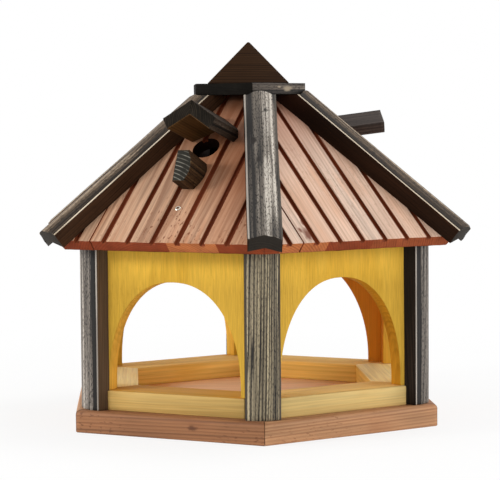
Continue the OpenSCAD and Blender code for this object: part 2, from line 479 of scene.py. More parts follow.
def growth_rings(s, grain, ring, wander, lean=0.012, onset=0.2):
    """Growth rings round a far pith: 1 on the dark line of each ring, with some rings fainter."""
    line_full, line_end = 0.8, 0.84
    faintest = 0.25
    drift = s.vector("MULTIPLY", s.wobble(grain, (4, 18, 18)), (0, wander, wander))
    along = s.add("ShaderNodeVectorMath", {0: grain, 1: (lean, 0, 0)}, operation="DOT_PRODUCT")
    along = along.outputs["Value"]
    slant = s.add("ShaderNodeCombineXYZ", {"Y": along, "Z": along}).outputs[0]
    bent = s.vector("ADD", s.vector("MULTIPLY", grain, (0, 1, 1)), s.vector("ADD", drift, slant))
    count = s.math("DIVIDE", s.length(bent), ring)
    phase = s.math("FRACT", count)
    rise = s.band(phase, onset, line_full)
    fall = s.math("SUBTRACT", 1.0, s.band(phase, line_end, 1.0))
    share = s.math("ADD", s.times(s.chance(s.math("FLOOR", count)), 1 - faintest), faintest)
    return s.times(s.times(rise, fall), share)


def add_knots(s, grain, colour, knots, knot_colour):
    """Knots at places in the grain, each fading out and longer along it."""
    fade_start, cover_most = 0.3, 0.95
    for place, size in knots:
        away = s.vector("MULTIPLY", s.vector("SUBTRACT", grain, place), (0.5 / size, 1 / size, 1 / size))
        distance = s.length(s.vector("ADD", away, s.wobble(grain, (120, 200, 200), detail=3)))
        cover = s.math("SUBTRACT", 1.0, s.band(distance, fade_start, 1.0))
        colour = s.mix(s.times(cover, cover_most), colour, rgb(*knot_colour))
    return colour


# Painted shade and ageing of roof boards: shares of the other colour, and where it sets in; the darkest
# colour is a painted shadow under the top plate
SHADE_SHARE = 0.7
SHADE_HEIGHTS = (200 * MM, 300 * MM)
AGED_AND_SHADED_SHARE = 0.65
# Painted shadow under the top plate, on the roof boards and the hips' sides near the roof's top
PAINTED_PLATE_SHADOW = rgb(48, 26, 16)
PAINTED_PLATE_SHADOW_SHARE = 0.75
PAINTED_PLATE_SHADOW_REACH = 32 * MM


def stained_wood(name, pale, deep, tint, ring=3 * MM, wander=4 * MM, line=0.6, fibre=0.5,
                 fibre_scale=(14, 700, 700), blotch=0.5, specks=0.0, rough=0.6, gloss=0.25, boards=None,
                 painted_lift=None, shade=None, aged_and_shaded=None, knots=(), knot_colour=None):
    """Smooth stained board: ring lines, fine fibres, and soft patches that lean to a tint.

    A wall may be lighter near its top: painted light against the eaves' shade. On the roof, boards may vary
    in tone, take a painted shade of a colour across the slope, and darken up the slope, part ageing and part
    painted shade, with a painted shadow under the top plate. The three arguments each give where they set in,
    where they are full, and a gain or a colour.
    """
    tint_share = 0.8
    s = Nodes(bpy.data.materials.new(name + "_wood"))
    pale, deep, tint = rgb(*pale), rgb(*deep), rgb(*tint)
    grain = s.grain()
    lines = growth_rings(s, grain, ring, wander)
    fibres = s.noise(grain, fibre_scale, detail=4)
    streaks = s.noise(grain, (5, 160, 160), detail=3)
    patches = s.noise(grain, (8, 30, 30), detail=3)
    colour = s.mix(s.times(lines, line), pale, deep)
    colour = s.mix(s.times(s.band(patches, 0.48, 0.66), tint_share), colour, tint)
    for value, strength in ((fibres, fibre), (streaks, blotch), (patches, blotch)):
        colour = s.scale_colour(colour, s.centred(value, strength))
    if boards:
        board_tint, board_tone = 0.5, 0.16
        tone = s.chance(s.math("FLOOR", s.math("DIVIDE", s.across(grain), boards)))
        colour = s.mix(s.times(tone, board_tint), colour, tint)
        colour = s.scale_colour(colour, s.centred(tone, board_tone))
    if specks:
        dots = s.noise(grain, (160, 420, 420), detail=1)
        cover = s.noise(grain, (9, 20, 20), detail=1)
        spot = s.times(s.band(dots, 0.6, 0.7), s.band(cover, 0.4, 0.6))
        colour = s.mix(s.times(spot, specks), colour, deep)
    # Painted light: the wall is lighter towards its top, against the shade under the eaves
    if painted_lift:
        low, high, amount = painted_lift
        painted_gain = s.times(s.band(s.height(), low, high), amount)
        colour = s.scale_colour(colour, s.math("ADD", painted_gain, 1.0))
    # Painted shade, partly darker boards: the front roof turns red-brown high up towards the front hip, where
    # the hip and perch shade it
    if shade:
        near, far, dark = shade
        cover = s.times(s.band(s.across(grain), near, far), s.band(s.height(), *SHADE_HEIGHTS))
        colour = s.mix(s.times(cover, SHADE_SHARE), colour, rgb(*dark))
    # Part ageing, part painted shade of the plate and canopies: darker and redder up the slope
    if aged_and_shaded:
        low, high, old = aged_and_shaded
        colour = s.mix(s.times(s.band(s.height(), low, high), AGED_AND_SHADED_SHARE), colour, rgb(*old))
        # Painted shadow under the top plate
        painted_plate_shadow = s.times(s.band(s.height(), ROOF_TOP - PAINTED_PLATE_SHADOW_REACH, ROOF_TOP), PAINTED_PLATE_SHADOW_SHARE)
        colour = s.mix(painted_plate_shadow, colour, PAINTED_PLATE_SHADOW)
    colour = add_knots(s, grain, colour, knots, knot_colour)
    height = s.math("ADD", s.times(lines, 0.5), fibres)
    return s.surface(colour, rough, height, gloss=gloss)


def stained_woods(*rows, **settings):
    """Woods of the same kind, each from its own name and colours."""
    return [stained_wood(*row, **settings) for row in rows]


def brushed_wood(name, dark, middle, pale, level, ring=3 * MM, lines=0.4, lean=0.012, wander=1.2 * MM,
                 streak=1.0, speck=0.2, patch=0.5, gloss=0.2, crown=None, painted_edge_shade=0.0, slant=0.0, knots=(),
                 knot_colour=None):
    """Dark stained wood brushed along the grain, so that pale wood shows in streaks and specks.

    A crown, given as its middle and half width in the grain, may get painted shade at its edges and painted
    light to one side.
    """
    fine = 0.4
    s = Nodes(bpy.data.materials.new(name + "_wood"))
    grain = s.grain()
    rings = growth_rings(s, grain, ring, wander, lean=lean, onset=0.45)
    value = s.math("SUBTRACT", level, s.times(rings, lines))
    layers = (((1.6, 240, 240), 3, streak), ((8, 800, 800), 2, fine), ((5, 45, 45), 2, patch))
    for scale, detail, share in layers:
        layer = s.math("SUBTRACT", s.noise(grain, scale, detail), 0.5)
        value = s.math("ADD", value, s.times(layer, share))
    dots = s.noise(grain, (260, 900, 900), detail=1)
    value = s.math("SUBTRACT", value, s.times(s.band(dots, 0.5, 0.68), speck))
    if crown:
        centre, half = crown
        side = s.math("DIVIDE", s.math("SUBTRACT", s.across(grain), centre), half)
        # Painted light to one side and painted shade at the edges, as on a rounded crown lit from one side
        value = s.math("ADD", value, s.times(side, slant))
        edge = s.band(s.math("ABSOLUTE", side), 0.45, 0.95)
        value = s.math("SUBTRACT", value, s.times(edge, painted_edge_shade))
    colour = s.mix(s.band(value, 0.1, 0.5), rgb(*dark), rgb(*middle))
    colour = s.mix(s.band(value, 0.45, 0.9), colour, rgb(*pale))
    colour = add_knots(s, grain, colour, knots, knot_colour)
    return s.surface(colour, rough=0.6, height=value, depth=0.35 * MM, gloss=gloss)


def end_grain(name, ground, ring_colour, ring=3 * MM, line=0.6, onset=0.2, blotch=0.8, worn=False, board=None,
              other=None, gloss=0.15):
    """Sawn ends: ring lines, worn off in places or not, and open pores.

    Boards, given by where the first one starts and their width, may vary to another colour, each fourth
    one wholly.
    """
    pore_strength, vary_most = 0.7, 0.3
    s = Nodes(bpy.data.materials.new(name + "_wood"))
    grain = s.grain()
    lines = growth_rings(s, grain, ring, wander=2 * MM, onset=onset)
    pores = s.noise(grain, (300, 900, 900))
    patches = s.noise(grain, (20, 60, 60), detail=3)
    ground = rgb(*ground)
    if board:
        start, width = board
        number = s.math("FLOOR", s.math("DIVIDE", s.math("SUBTRACT", s.across(grain), start), width))
        fourth = s.math("LESS_THAN", s.math("FLOORED_MODULO", number, 4.0), 0.5)
        vary = s.math("MAXIMUM", fourth, s.times(s.chance(number), vary_most))
        ground = s.mix(vary, ground, rgb(*other))
    if worn:
        lines = s.times(lines, s.band(patches, 0.35, 0.6))
    colour = s.mix(s.times(lines, line), ground, rgb(*ring_colour))
    colour = s.scale_colour(colour, s.centred(pores, pore_strength))
    colour = s.scale_colour(colour, s.centred(patches, blotch))
    return s.surface(colour, rough=0.75, height=pores, depth=0.25 * MM, gloss=gloss)


def metal(name, colour, rough):
    s = Nodes(bpy.data.materials.new(name))
    scratch = s.noise(s.grain(), (900, 900, 900))
    shade = s.scale_colour(rgb(*colour)[:3], s.centred(scratch, 0.3))
    return s.surface(shade, rough, scratch, depth=0.05 * MM, metallic=1.0)


# Where each kind of piece lies in its log: across and out from the pith
BASE_PITH = (-175 * MM, 30 * MM)
BOARD_PITH = (15 * MM, 60 * MM)
SILL_PITH = (-160 * MM, 10 * MM)
WALL_PITH = (110 * MM, -160 * MM)
POST_PITH = (11 * MM, 24 * MM)
HIP_PITH = (8 * MM, 30 * MM)
PERCH_PITH = (-48 * MM, 6 * MM)

# In the grain: middle and half width of a batten's crown, start and width of an eave's board
POST_CROWN = (POST_PITH[0], POST_W / 2)
HIP_CROWN = (HIP_PITH[0], HIP_W / 2)
EAVE_BOARD = (17 * MM, 60 * MM)


def groove_shift(i):
    return GROOVE_SHIFT if i in ENTRANCE_FACES else 0


def roof_pith(i):
    """Grooves lie at whole multiples of their pitch in the grain."""
    return (4 * (i - 1) * GROOVE_PITCH - groove_shift(i), 70 * MM)


# Seeds of the pieces' grain and wear
BASE_SEED, FLOOR_SEED, NEST_SEED, SILL_SEED, WALL_SEED = 100, 120, 121, 140, 160
POST_SEED, HIP_SEED, ROOF_SEED, PLATE_SEED, FINIAL_SEED = 200, 230, 260, 301, 302
CANOPY_SEED, PERCH_SEED = 320, 340
PLATE_WEAR, CANOPY_WEAR, PERCH_WEAR = 9, 20, 40


def knots_at(seed, pith, *rows):
    """Knots on the board with a seed, from rows of their place and size in millimetres."""
    origin = grain_offset(seed, pith)
    return [(Vector(place) * MM + origin, size * MM) for *place, size in rows]


# Knots that the photo shows
BASE_KNOTS = knots_at(BASE_SEED + 1, BASE_PITH, (-30, 203, 14, 4))
ROOF_KNOTS = knots_at(ROOF_SEED + 5, roof_pith(2), (-13, -67, 0, 7), (-30, -63, 0, 4), (-20, -73, 0, 3))
PLATE_KNOTS = knots_at(PLATE_SEED, HIP_PITH, (-11, 63, 383, 4), (0, 63, 385, 1.6))
HIP_KNOTS = knots_at(HIP_SEED + 2, HIP_PITH, *[
    (-share * HIP_LENGTH / MM, y, 16, size) for share, y, size in ((0.6, -9, 5), (0.47, -4, 4), (0.8, 5, 3))])

BASE = stained_wood(
    "base", (157, 108, 72), (98, 58, 36), (127, 81, 52), blotch=0.8, specks=0.6,
    knots=BASE_KNOTS, knot_colour=(100, 62, 40))
PALE_BASE = stained_wood(
    "pale_base", (186, 138, 98), (126, 80, 50), (158, 108, 72), blotch=0.8, specks=0.6)
MITRE = stained_wood("mitre", (56, 34, 24), (30, 18, 12), (42, 26, 18), gloss=0.1)
FLOOR = stained_wood("floor", (244, 204, 166), (214, 164, 128), (230, 182, 144))
SILL, PALE_SILL = stained_woods(
    ("sill", (206, 170, 98), (172, 128, 56), (190, 148, 74)),
    ("pale_sill", (218, 188, 120), (186, 146, 78), (204, 168, 98)),
    ring=5 * MM, wander=8 * MM, line=0.35)
# Lit and shaded copies of the sill wood: the front sill's top is painted shade; the other tops and all inner
# faces painted light
SILL_TOP_PAINTED_SHADE, SILL_TOP_PAINTED_LIGHT, SILL_IN_PAINTED_LIGHT = stained_woods(
    ("sill_top", (216, 168, 78), (180, 128, 48), (200, 150, 62)),
    ("pale_sill_top", (244, 208, 130), (216, 168, 88), (230, 188, 108)),
    ("sill_in", (240, 196, 106), (206, 156, 66), (224, 178, 86)),
    ring=5 * MM, line=0.35, gloss=0.05)
# Painted light on the tops of the side sills
SIDE_SILL_TOP_PAINTED_LIGHT = stained_wood(
    "side_sill_top", (252, 234, 176), (232, 200, 126), (244, 220, 152), ring=5 * MM, line=0.25,
    gloss=0.05)
# The wall is lighter towards its top: painted light against the shade under the eaves
WALL = stained_wood(
    "wall", (204, 161, 58), (170, 124, 30), (190, 146, 45), ring=2.2 * MM, wander=3 * MM, line=0.15,
    fibre=0.6, fibre_scale=(50, 800, 800), blotch=0.2, specks=0.2, gloss=0.08, painted_lift=(0.155, 0.19, 0.25))
# Painted shade: the insides of walls 3 and 4 are darker and more orange
WALL_IN_PAINTED_SHADE = stained_wood(
    "wall_in", (214, 139, 45), (174, 100, 22), (196, 121, 33), ring=2.2 * MM, line=0.2, blotch=0.3,
    gloss=0.05)
# Arch reveals: a painted-shade copy of the wall wood on face 2, a painted-light copy elsewhere
REVEAL = stained_wood("reveal", (204, 146, 40), (166, 108, 20), (184, 126, 28), ring=2.2 * MM, gloss=0.05)
REVEAL_PAINTED_LIGHT = stained_wood(
    "pale_reveal", (232, 182, 74), (200, 144, 46), (216, 164, 60), ring=2.2 * MM, line=0.35, gloss=0.05)
# Painted shade on the front roof beside the front hip and under the perch, partly darker boards
RED_PAINTED_SHADE = (10 * MM, 60 * MM, (128, 66, 28))
# Roof woods darken and redden up the slope: part ageing, part painted shade
FRONT_ROOF, ROOF = [
    stained_wood(
        name, (210, 168, 136), (122, 72, 44), (158, 102, 68), ring=4 * MM, wander=8 * MM, line=0.65,
        fibre=0.9, blotch=1.0, specks=0.9, rough=0.5, boards=GROOVE_PITCH, shade=shade,
        aged_and_shaded=(0.26, 0.37, (142, 80, 46)))
    for name, shade in (("front_roof", RED_PAINTED_SHADE), ("roof", None))]
# A paler copy of the roof wood for faces 2, 4 and 6: painted sheen, with real knots
ROOF_PAINTED_SHEEN = stained_wood(
    "sheen_painted_roof", (226, 196, 174), (142, 92, 64), (194, 150, 121), ring=4 * MM, wander=8 * MM, line=0.55,
    fibre=0.9, blotch=0.8, specks=0.3, rough=0.5, boards=GROOVE_PITCH, aged_and_shaded=(0.27, 0.38, (160, 88, 54)),
    knots=ROOF_KNOTS, knot_colour=(112, 52, 22))
# Groove wood: a darker stain in the grooves, and painted shade of their depth
GROOVE = stained_wood("groove", (134, 66, 38), (70, 30, 15), (100, 46, 25), blotch=0.9, gloss=0.1)
# Of these, the hole wood is painted shade: inside the entrance holes, on the nest floor's top and in the
# screw's socket
ROOF_UNDER, HOLE = stained_woods(
    ("roof_under", (92, 52, 32), (52, 28, 16), (70, 38, 22)),
    ("hole", (32, 15, 9), (20, 9, 6), (26, 12, 7)),
    gloss=0.05)
EAVE = end_grain("eave", (130, 56, 28), (94, 34, 17), board=EAVE_BOARD, other=(182, 108, 62))
POST = brushed_wood(
    "post", (36, 33, 30), (114, 104, 86), (198, 182, 148), level=0.62, ring=1.25 * MM, lines=0.85,
    lean=0.007, wander=0.5 * MM, patch=0.4)
# Crowns darker at their edges and lighter to one side: painted shade and painted light
SILVER = brushed_wood(
    "silver", (28, 25, 23), (100, 92, 84), (196, 186, 174), level=0.57, lines=0.25, streak=1.5, speck=0.3,
    crown=POST_CROWN, painted_edge_shade=0.8)
FRONT_HIP = brushed_wood(
    "front_hip", (36, 33, 31), (104, 96, 87), (208, 199, 186), level=0.55, ring=2.4 * MM, lines=0.3,
    streak=1.6, speck=0.3, crown=HIP_CROWN, painted_edge_shade=0.3, slant=0.35, knots=HIP_KNOTS,
    knot_colour=(30, 24, 20))
HIP_WOOD = brushed_wood(
    "hip", (34, 27, 21), (92, 76, 60), (184, 164, 140), level=0.49, ring=2.4 * MM, lines=0.3, streak=1.3,
    speck=0.3, crown=HIP_CROWN, painted_edge_shade=0.3, slant=0.1)
BROWN_POST = stained_wood(
    "brown_post", (98, 77, 56), (54, 40, 29), (76, 59, 43), ring=2 * MM, fibre=0.9, gloss=0.1)
BLACK_POST = stained_wood(
    "black_post", (45, 36, 29), (17, 13, 10), (30, 24, 19), ring=2 * MM, line=0.8, fibre=1.2, blotch=0.8,
    gloss=0.08)
BROWN_HIP = stained_wood(
    "brown_hip", (66, 43, 27), (26, 16, 10), (44, 28, 17), ring=2 * MM, fibre=0.9, blotch=0.9, gloss=0.05)
# The hips' black sides darken towards their top, with the painted shadow under the top plate
BLACK_HIP = stained_wood(
    "black_hip", (48, 28, 16), (18, 10, 6), (32, 19, 11), ring=2 * MM, fibre=0.9, blotch=0.9, gloss=0.04,
    aged_and_shaded=(0.27, 0.36, (14, 8, 5)))
# Ledge colours: bare worn edges with a painted highlight, with a softer highlight, and a painted shade line
LEDGE_WEAR_AND_HIGHLIGHT, LEDGE_WEAR_AND_SOFT_HIGHLIGHT, LEDGE_PAINTED_SHADE = stained_woods(
    ("worn_highlit_ledge", (216, 200, 176), (120, 104, 86), (170, 152, 128)),
    ("worn_soft_highlit_ledge", (172, 163, 152), (88, 80, 73), (128, 119, 110)),
    ("shade_line_ledge", (82, 74, 64), (36, 32, 28), (56, 50, 44)))
DARK_END = end_grain("dark_end", (38, 33, 28), (62, 55, 47), ring=1.6 * MM)
PERCH_END = end_grain(
    "perch_end", (40, 38, 32), (176, 170, 156), ring=4.4 * MM, line=0.7, onset=0.66, blotch=0.6,
    worn=True)
PERCH = brushed_wood(
    "perch", (24, 19, 14), (66, 46, 29), (124, 98, 66), level=0.5, streak=1.3, gloss=0.06)
CANOPY = brushed_wood("canopy", (20, 17, 14), (54, 43, 34), (112, 102, 92), level=0.46, gloss=0.08)
CANOPY_END = end_grain("canopy_end", (22, 18, 14), (60, 52, 42), ring=2.2 * MM, blotch=1.2, gloss=0.05)
CANOPY_UNDER = stained_wood(
    "canopy_under", (92, 64, 34), (34, 22, 12), (60, 40, 22), blotch=1.2, gloss=0.05)
PLATE = brushed_wood(
    "plate", (30, 27, 24), (80, 71, 63), (170, 158, 142), level=0.33, streak=1.5,
    knots=PLATE_KNOTS, knot_colour=(158, 143, 121))
PLATE_END = end_grain("plate_end", (22, 19, 15), (12, 10, 8), blotch=1.2, gloss=0.06)
GREY_CANOPY = brushed_wood(
    "grey_canopy", (22, 18, 16), (66, 55, 49), (132, 120, 111), level=0.47, lines=0.2, streak=0.8,
    speck=0.1)
FINIAL = stained_wood(
    "finial", (53, 35, 21), (25, 15, 9), (39, 25, 15), ring=2.4 * MM, line=0.9, fibre=0.9, gloss=0.02)
STEEL = metal("screw_steel", (206, 200, 188), 0.3)


# Pieces

# Material slots of boards, sills, walls, battens and roof panels
BOARD_TAG, CUT_TAG, BELOW_TAG = range(3)
SILL_FACE_TAG, SILL_TOP_TAG, SILL_IN_TAG = range(3)
WALL_TAG, REVEAL_TAG, WALL_IN_TAG = range(3)
SIDE_TAG, LEDGE_TAG, CROWN_TAG, END_TAG, OTHER_LEDGE_TAG = range(5)
TOP_TAG, GROOVE_TAG, EAVE_TAG, HOLE_TAG, STEEL_TAG, UNDER_TAG = range(6)

# Least part of a normal along an axis for a face to look that way
FACING = 0.3


def one_piece(node, slot, woods, bm, place, seed, pith):
    """A piece of one mesh, which stands for one node."""
    piece = Piece(f"{node}_wood", woods)
    piece.add(bm, place, seed, pith)
    piece.finish(slot, node)


def chamfered(near, far, low, high, edge, below=BOARD_TAG):
    """A board's profile with its edges taken off; its underside may have its own tag."""
    points = [(near, low + edge), (near + edge, low), (far - edge, low), (far, low + edge),
              (far, high - edge), (far - edge, high), (near + edge, high), (near, high - edge)]
    tags = [BOARD_TAG, below] + [BOARD_TAG] * 6
    return [(y, z, tag) for (y, z), tag in zip(points, tags)]


def cut_mitres(bm, i, tag, soften=0.0):
    """Cuts a face's board at its two corners' planes, with half of each mitre's gap."""
    for turn in (-120, 120):
        normal = face_frame(i) @ rotation(radians(turn)) @ Vector((1, 0, 0))
        cut(bm, face_frame(i) @ Vector((MITRE_GAP, 0, 0)), normal, tag=tag, soften=soften)


def base_boards():
    apothem, inner, top = base_high.x, base_low.x, base_high.z
    reach = apothem * TAN30
    edge = 1 * MM
    arc = [(apothem - BASE_ROUND + BASE_ROUND * cos(a), top - BASE_ROUND + BASE_ROUND * sin(a))
           for a in (radians(step) for step in range(0, 91, 15))]
    points = [(inner, edge), (inner + edge, 0), (apothem - edge, 0), (apothem, edge)] + arc
    points += [(inner + edge, top), (inner, top - edge)]
    profile = densify([(y, z, BOARD_TAG) for y, z in points], step=6 * MM)
    for i in FACES:
        place = face_frame(i) @ LYING
        bm = prism(profile, -reach, reach, ring_step=6 * MM)
        bm.transform(place)
        cut_mitres(bm, i, CUT_TAG, soften=1.7 * MM)
        weather(bm, place, i, amount=0.35 * MM)
        for v in bm.verts:
            v.co.z = max(v.co.z, 0)
        woods = [BASE if i % 2 else PALE_BASE, MITRE]
        one_piece(f"base_board_{i}", "brown_wood", woods, bm, place, BASE_SEED + i, BASE_PITH)


def hexagon(radius, z):
    return [Vector((radius * cos(a), radius * sin(a), z)) for a in (radians(60 * k + 30) for k in range(6))]


def floors():
    """The seed floor, and the nest's floor, whose upper side, which only the entrances show, is painted
    shade.
    """
    upward = 0.5
    for node, slot, low, high, woods, seed in (
            ("floor_panel", "brown_wood", floor_low, floor_high, [FLOOR], FLOOR_SEED),
            ("nest_floor", "yellow_wood", nest_low, nest_high, [WALL, HOLE], NEST_SEED)):
        bm = slab(hexagon(high.y, low.z), hexagon(high.y, high.z), soften=1 * MM)
        for f in bm.faces:
            f.material_index = len(woods) - 1 if f.normal.z > upward else 0
        one_piece(node, slot, woods, bm, Matrix.Identity(4), seed, BOARD_PITH)


def sill_outline():
    """Plan of a sill in its face's frame, notched round the posts at both ends."""
    along = Vector((cos(radians(30)), sin(radians(30))))
    across = Vector((-along.y, along.x))
    half = POST_W / 2 + SEAT_GAP
    foot = WALL_CORNER - POST_DROP - SEAT_GAP
    side = along * foot - across * half
    tip = along * foot - across * (MITRE_GAP / 2)
    outer = (sill_high.x, (sill_high.x * along.y - half) / along.x)
    inner_out = sill_low.x - SILL_REACH
    inner = (inner_out, (inner_out - MITRE_GAP) * TAN30)
    upper = [outer, side, tip, inner]
    return [Vector(p) for p in upper] + [Vector((p[0], -p[1])) for p in reversed(upper)]


def sills():
    low, high = [[p.to_3d() + Vector((0, 0, z)) for p in sill_outline()] for z in (sill_low.z, sill_high.z)]
    for i in FACES:
        bm = slab(low, high, soften=1.2 * MM)
        for f in bm.faces:
            upper = SILL_TOP_TAG if f.normal.z > FACING else SILL_IN_TAG
            f.material_index = SILL_FACE_TAG if f.normal.x > FACING else upper
        bm.transform(face_frame(i))
        front = SILL if i % 2 else PALE_SILL
        # Each sill's top: painted shade on the front sill, painted light on the others
        top = SILL_TOP_PAINTED_SHADE if i == FRONT_FACE else SIDE_SILL_TOP_PAINTED_LIGHT if i in SIDE_FACES else SILL_TOP_PAINTED_LIGHT
        place = face_frame(i) @ LYING
        one_piece(f"sill_{i}", "yellow_wood", [front, top, SILL_IN_PAINTED_LIGHT], bm, place, SILL_SEED + i, SILL_PITH)


def wall_outline(i, out):
    """A wall's outline at a distance from the middle, in its face's frame, with its arch cut in."""
    width = (out - MITRE_GAP) * TAN30
    foot = wall_low.z
    top = EAVE_Z + (EAVE_OUT - out) * tan(ROOF_PITCH) - (BOARD_THICK + SEAT_GAP) / cos(ROOF_PITCH)
    half = ARCH_W / 2
    rise = ARCH_RISE + ARCH_LIFTS.get(i, 0)
    middle = ARCH_SHIFT + ARCH_MOVES.get(i, 0)
    power = 2 / (2 if i in ARCH_MOVES else ARCH_POWER)
    steps = 48
    arch = []
    for n in range(steps + 1):
        a = math.pi * n / steps
        across = math.copysign(abs(cos(a)) ** power, cos(a))
        arch.append((middle - half * across, foot + ARCH_LEG + rise * abs(sin(a)) ** power))
    points = [(-width, foot), (middle - half, foot)] + arch
    points += [(middle + half, foot), (width, foot), (width, top), (-width, top)]
    return [Vector((out, y, z)) for y, z in points]


def walls():
    middle = Vector((0, ARCH_SHIFT, wall_low.z + ARCH_LEG))
    for i in FACES:
        bm = slab(wall_outline(i, wall_high.x), wall_outline(i, wall_low.x), soften=0.8 * MM)
        for f in bm.faces:
            inward = f.normal.dot(middle - f.calc_center_median() * Vector((0, 1, 1)))
            inside = i in INSIDE_SHADE_FACES and f.normal.x < -FACING
            f.material_index = WALL_IN_TAG if inside else WALL_TAG
            if abs(f.normal.x) < FACING and inward > 0:
                f.material_index = REVEAL_TAG
        bm.transform(face_frame(i))
        # Reveals: painted shade on face 2, painted light elsewhere; insides of walls 3 and 4 painted shade
        woods = [WALL, REVEAL if i == SHADED_FACE else REVEAL_PAINTED_LIGHT, WALL_IN_PAINTED_SHADE]
        place = face_frame(i) @ STANDING
        one_piece(f"arch_wall_{i}", "yellow_wood", woods, bm, place, WALL_SEED + i, WALL_PITH)


def batten_profile(width, side, drop, spare=0.0):
    """Batten with a V underside, flat ledges and a rounded crown; Y across, Z out; spare deepens it."""
    half = width / 2
    shoulder = side - drop
    crown_half = half - BATTEN_LEDGE
    radius = (crown_half ** 2 + BATTEN_CROWN ** 2) / (2 * BATTEN_CROWN)
    sweep = math.asin(crown_half / radius)
    steps = 36
    crown = []
    for n in range(steps + 1):
        a = sweep * (1 - 2 * n / steps)
        tag = OTHER_LEDGE_TAG if n == steps else CROWN_TAG
        crown.append((radius * sin(a), shoulder + BATTEN_CROWN - radius * (1 - cos(a)), tag))
    edge = 0.6 * MM
    right = [(0, -spare, SIDE_TAG), (half, -drop - spare, SIDE_TAG), (half, shoulder - edge, LEDGE_TAG),
             (half - edge, shoulder, LEDGE_TAG)]
    left = [(-half + edge, shoulder, OTHER_LEDGE_TAG), (-half, shoulder - edge, SIDE_TAG),
            (-half, -drop - spare, SIDE_TAG)]
    return densify(right + crown + left, step=3 * MM)


def batten(bm, node, place, woods, seed, pith):
    """A batten from its mesh; woods of its sides, ledge along +Y, crown, ends and other ledge."""
    weather(bm, place, seed, amount=0.5 * MM, along=9, across=40)
    weather(bm, place, seed + 1, amount=0.45 * MM, along=5, across=420, tags=(CROWN_TAG,))
    one_piece(node, "dark_wood", woods, bm, place, seed, pith)


def posts():
    profile = batten_profile(POST_W, POST_SIDE, POST_DROP)
    for i in FACES:
        place = corner_frame(i) @ Matrix.Translation((WALL_CORNER + SEAT_GAP, 0, 0)) @ STANDING
        bm = prism(profile, post_low.z, ROOF_TOP, ring_step=4 * MM, end_round=0.8 * MM, cap_tag=END_TAG)
        bm.transform(place)
        for turn in (-30, 30):
            slope = corner_frame(i) @ rotation(radians(turn)) @ SLOPE
            below = slope @ Vector((0, 0, -BOARD_THICK - SEAT_GAP))
            cut(bm, below, slope.to_3x3() @ Vector((0, 0, 1)), tag=END_TAG)
        side = BROWN_POST if i in BROWN_CORNERS else BLACK_POST
        # The front post's ledges are painted shade lines, the others worn edges with a soft painted highlight
        ledge = LEDGE_PAINTED_SHADE if i == FRONT_CORNER else LEDGE_WEAR_AND_SOFT_HIGHLIGHT
        crown = POST if i == FRONT_CORNER else SILVER
        batten(bm, f"post_{i}", place, [side, ledge, crown, DARK_END, ledge], POST_SEED + 2 * i, POST_PITH)


def roof_fold(i):
    """The roof under a hip, as a wedge along its fold."""
    reach = 2 * HIP_W
    foot = SEAT_GAP - reach * HIP_DROP / (HIP_W / 2)
    profile = [(0, SEAT_GAP, SIDE_TAG), (-reach, foot, SIDE_TAG), (reach, foot, SIDE_TAG)]
    bm = prism(profile, -2 * HIP_LENGTH, HIP_LENGTH, ring_step=3 * HIP_LENGTH)
    bm.transform(corner_frame(i) @ HIP)
    return bm


def plate_room(i):
    """The room over the top plate's underside, up to the plate's corner, that a hip leaves free."""
    low, high = ROOF_TOP - SEAT_GAP, ROOF_TOP + HIP_W
    profile = [(y, z, END_TAG) for y, z in ((-HIP_W, low), (HIP_W, low), (HIP_W, high), (-HIP_W, high))]
    bm = prism(profile, 0, PLATE_RADIUS + HIP_GAP, ring_step=PLATE_RADIUS, cap_tag=END_TAG)
    bm.transform(corner_frame(i))
    return bm


def hips():
    profile = batten_profile(HIP_W, HIP_SIDE, HIP_DROP, HIP_SPARE)
    turns = {FRONT_CORNER: FRONT_HIP_TURN}
    lifts = {FRONT_CORNER: FRONT_HIP_LIFT, RIGHT_CORNER: RIGHT_HIP_LIFT}
    for i in FACES:
        place = (corner_frame(i) @ HIP @ Matrix.Translation((HIP_OVERHANG, 0, 0))
                 @ rotation(-turns.get(i, 0)) @ rotation(lifts.get(i, 0), "Y"))
        bm = prism(profile, -HIP_LENGTH, 0, ring_step=4 * MM, end_round=0.8 * MM, cap_tag=END_TAG)
        bm.transform(place)
        bm = subtract(bm, roof_fold(i))
        bm = subtract(bm, plate_room(i))
        wear_end(bm, place, i, amount=2.2 * MM)
        side = BROWN_HIP if i in BROWN_CORNERS else BLACK_HIP
        # Ledges are worn edges with a painted highlight; the front hip has a painted shade line on one side
        ledge, crown, other = LEDGE_WEAR_AND_HIGHLIGHT, HIP_WOOD, LEDGE_WEAR_AND_HIGHLIGHT
        if i == FRONT_CORNER:
            ledge, crown, other = LEDGE_PAINTED_SHADE, FRONT_HIP, LEDGE_WEAR_AND_SOFT_HIGHLIGHT
        batten(bm, f"hip_{i}", place, [side, ledge, crown, DARK_END, other], HIP_SEED + 2 * i, HIP_PITH)


def groove_at(n):
    return n * GROOVE_PITCH - (SEAM_EXTRA if n == -GROOVE_COUNT else 0)


def roof_profile(start, end, grooves):
    """A grooved board from one side to the other, with chamfers beside each groove."""
    c = GROOVE_CHAMFER
    top = [(end, -c, GROOVE_TAG), (end - c, 0, TOP_TAG)]
    for y in sorted(grooves, reverse=True):
        left, right = y - GROOVE_W / 2, y + GROOVE_W / 2
        top += [(right + c, 0, TOP_TAG), (right, -c, GROOVE_TAG), (right - c, -GROOVE_DEPTH, GROOVE_TAG),
                (left + c, -GROOVE_DEPTH, GROOVE_TAG), (left, -c, TOP_TAG), (left - c, 0, TOP_TAG)]
    top += [(start + c, 0, GROOVE_TAG), (start, -c, GROOVE_TAG)]
    return densify([(start, -BOARD_THICK, UNDER_TAG), (end, -BOARD_THICK, GROOVE_TAG)] + top, step=5 * MM)


